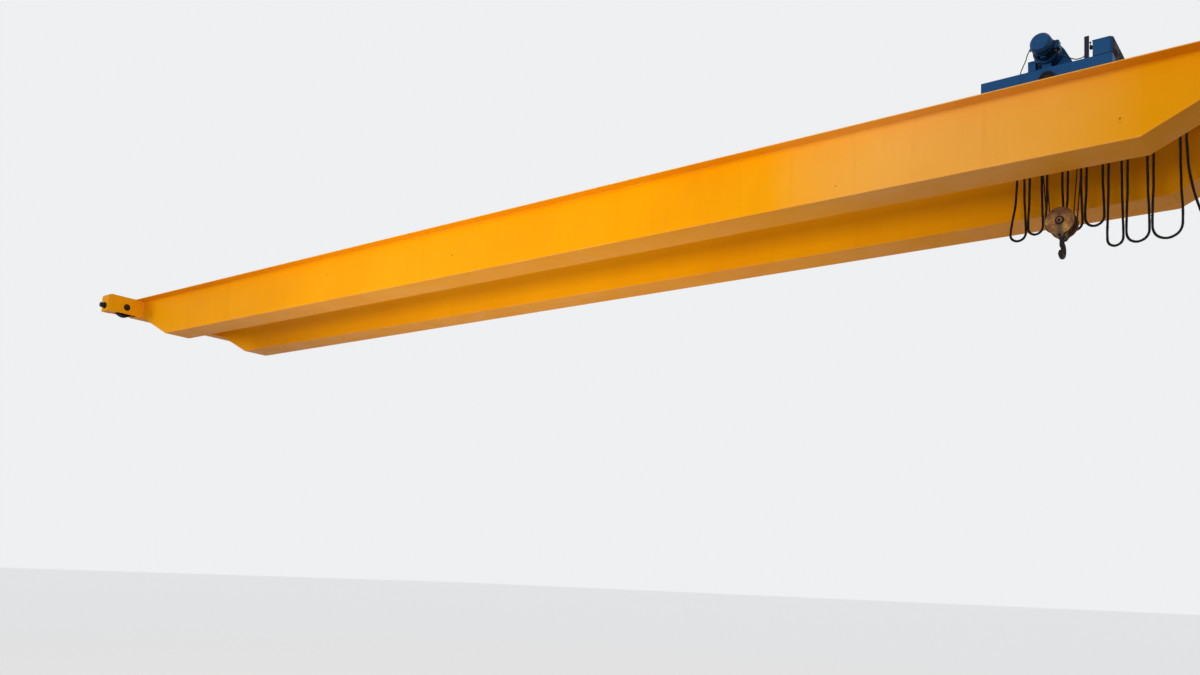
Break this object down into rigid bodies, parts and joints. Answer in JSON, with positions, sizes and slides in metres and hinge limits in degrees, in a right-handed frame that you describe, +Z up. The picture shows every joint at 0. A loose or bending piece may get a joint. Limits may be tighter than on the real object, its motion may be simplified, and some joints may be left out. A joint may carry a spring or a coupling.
{
  "type": "double girder overhead bridge crane",
  "caption": "Top running overhead crane: two box girders on end trucks, a rope trolley with a hook block, and festoon cable loops.",
  "frame": {"origin": "middle of the left end truck's flat underside, between its two wheels", "axes": "+X along the span towards the right truck, +Y along the runway, +Z up"},
  "size_m": [22.78, 4.6, 2.493],
  "materials": {
    "yellow_paint": "semi-gloss amber yellow paint",
    "blue_paint": "semi-gloss blue paint",
    "rail_steel": "rolled steel, worn bright on top",
    "wheel_iron": "dark forged steel with a worn tread",
    "buffer_rubber": "matt black rubber",
    "cable_sheath": "matt black cable sheath",
    "track_steel": "galvanised steel",
    "carrier_plastic": "black plastic saddles",
    "rope_steel": "greased wire rope",
    "drum_steel": "greased steel",
    "block_paint": "worn yellow paint over rust",
    "hook_steel": "dark forged steel",
    "post_paint": "dark grey paint"
  },
  "bodies": {
    "bridge": {"near_top_flange": "yellow_paint", "near_bottom_flange": "yellow_paint", "near_outer_web": "yellow_paint", "near_inner_web": "yellow_paint", "far_top_flange": "yellow_paint", "far_bottom_flange": "yellow_paint", "far_outer_web": "yellow_paint", "far_inner_web": "yellow_paint", "girder_end_plates": "yellow_paint", "diaphragms": "yellow_paint", "trolley_rails": "rail_steel", "rail_stops": "yellow_paint", "left_end_truck": "yellow_paint", "right_end_truck": "yellow_paint", "bridge_wheels": "wheel_iron", "buffers": "buffer_rubber", "travel_drives": "blue_paint", "festoon_track": "track_steel", "festoon_brackets": "yellow_paint", "festoon_cable": "cable_sheath"},
    "trolley": {"trolley_near_side": "blue_paint", "trolley_far_side": "blue_paint", "trolley_cross_beams": "blue_paint", "trolley_wheels": "wheel_iron", "rope_drum": "drum_steel", "hoist_gearbox": "blue_paint", "hoist_motor": "blue_paint", "trolley_drive": "blue_paint", "control_box": "blue_paint", "limit_post": "post_paint", "equaliser": "drum_steel", "tow_arm": "blue_paint", "rope_falls": "rope_steel"},
    "tow_carriage": {"tow_carriage": "carrier_plastic"},
    "carrier_1": {"carrier_1": "carrier_plastic"},
    "carrier_2": {"carrier_2": "carrier_plastic"},
    "carrier_3": {"carrier_3": "carrier_plastic"},
    "carrier_4": {"carrier_4": "carrier_plastic"},
    "carrier_5": {"carrier_5": "carrier_plastic"},
    "carrier_6": {"carrier_6": "carrier_plastic"},
    "carrier_7": {"carrier_7": "carrier_plastic"},
    "carrier_8": {"carrier_8": "carrier_plastic"},
    "hook_block": {"block_cheeks": "block_paint"},
    "sheaves": {"block_sheaves": "drum_steel"},
    "hook": {"hook": "hook_steel"}
  },
  "joints": [
    {"name": "trolley_travel", "type": "slide", "parent": "bridge", "child": "trolley", "axis": [1, 0, 0], "range_m": [-18.6, 0.4]},
    {"name": "hoist", "type": "slide", "parent": "trolley", "child": "hook_block", "axis": [0, 0, 1], "range_m": [-6, 0.85], "deforming": ["rope_falls"]},
    {"name": "sheave_turn", "type": "hinge", "parent": "hook_block", "child": "sheaves", "pos_m": [20.175, 0, -0.865], "axis": [0, 1, 0], "continuous": true},
    {"name": "hook_swivel", "type": "hinge", "parent": "hook_block", "child": "hook", "pos_m": [20.175, 0, -1.016], "axis": [0, 0, 1], "continuous": true},
    {"name": "tow_carriage_roll", "type": "slide", "parent": "carrier_1", "child": "tow_carriage", "axis": [1, 0, 0], "range_m": [-1.9364, 0.0436]},
    {"name": "carrier_1_roll", "type": "slide", "parent": "carrier_2", "child": "carrier_1", "axis": [1, 0, 0], "range_m": [-1.8434, 0.0416]},
    {"name": "carrier_2_roll", "type": "slide", "parent": "carrier_3", "child": "carrier_2", "axis": [1, 0, 0], "range_m": [-1.8527, 0.0418]},
    {"name": "carrier_3_roll", "type": "slide", "parent": "carrier_4", "child": "carrier_3", "axis": [1, 0, 0], "range_m": [-1.8992, 0.0428]},
    {"name": "carrier_4_roll", "type": "slide", "parent": "carrier_5", "child": "carrier_4", "axis": [1, 0, 0], "range_m": [-1.8527, 0.0418]},
    {"name": "carrier_5_roll", "type": "slide", "parent": "carrier_6", "child": "carrier_5", "axis": [1, 0, 0], "range_m": [-2.4479, 0.0546]},
    {"name": "carrier_6_roll", "type": "slide", "parent": "carrier_7", "child": "carrier_6", "axis": [1, 0, 0], "range_m": [-2.4014, 0.0536]},
    {"name": "carrier_7_roll", "type": "slide", "parent": "carrier_8", "child": "carrier_7", "axis": [1, 0, 0], "range_m": [-2.3828, 0.0532]},
    {"name": "carrier_8_roll", "type": "slide", "parent": "bridge", "child": "carrier_8", "axis": [1, 0, 0], "range_m": [-2.0015, 0.045]}
  ],
  "couplings": [
    {"joint": "tow_carriage_roll", "follows": "trolley_travel", "ratio": 0.104},
    {"joint": "carrier_1_roll", "follows": "trolley_travel", "ratio": 0.099},
    {"joint": "carrier_2_roll", "follows": "trolley_travel", "ratio": 0.0995},
    {"joint": "carrier_3_roll", "follows": "trolley_travel", "ratio": 0.102},
    {"joint": "carrier_4_roll", "follows": "trolley_travel", "ratio": 0.0995},
    {"joint": "carrier_5_roll", "follows": "trolley_travel", "ratio": 0.1315},
    {"joint": "carrier_6_roll", "follows": "trolley_travel", "ratio": 0.129},
    {"joint": "carrier_7_roll", "follows": "trolley_travel", "ratio": 0.128},
    {"joint": "carrier_8_roll", "follows": "trolley_travel", "ratio": 0.1075}
  ]
}
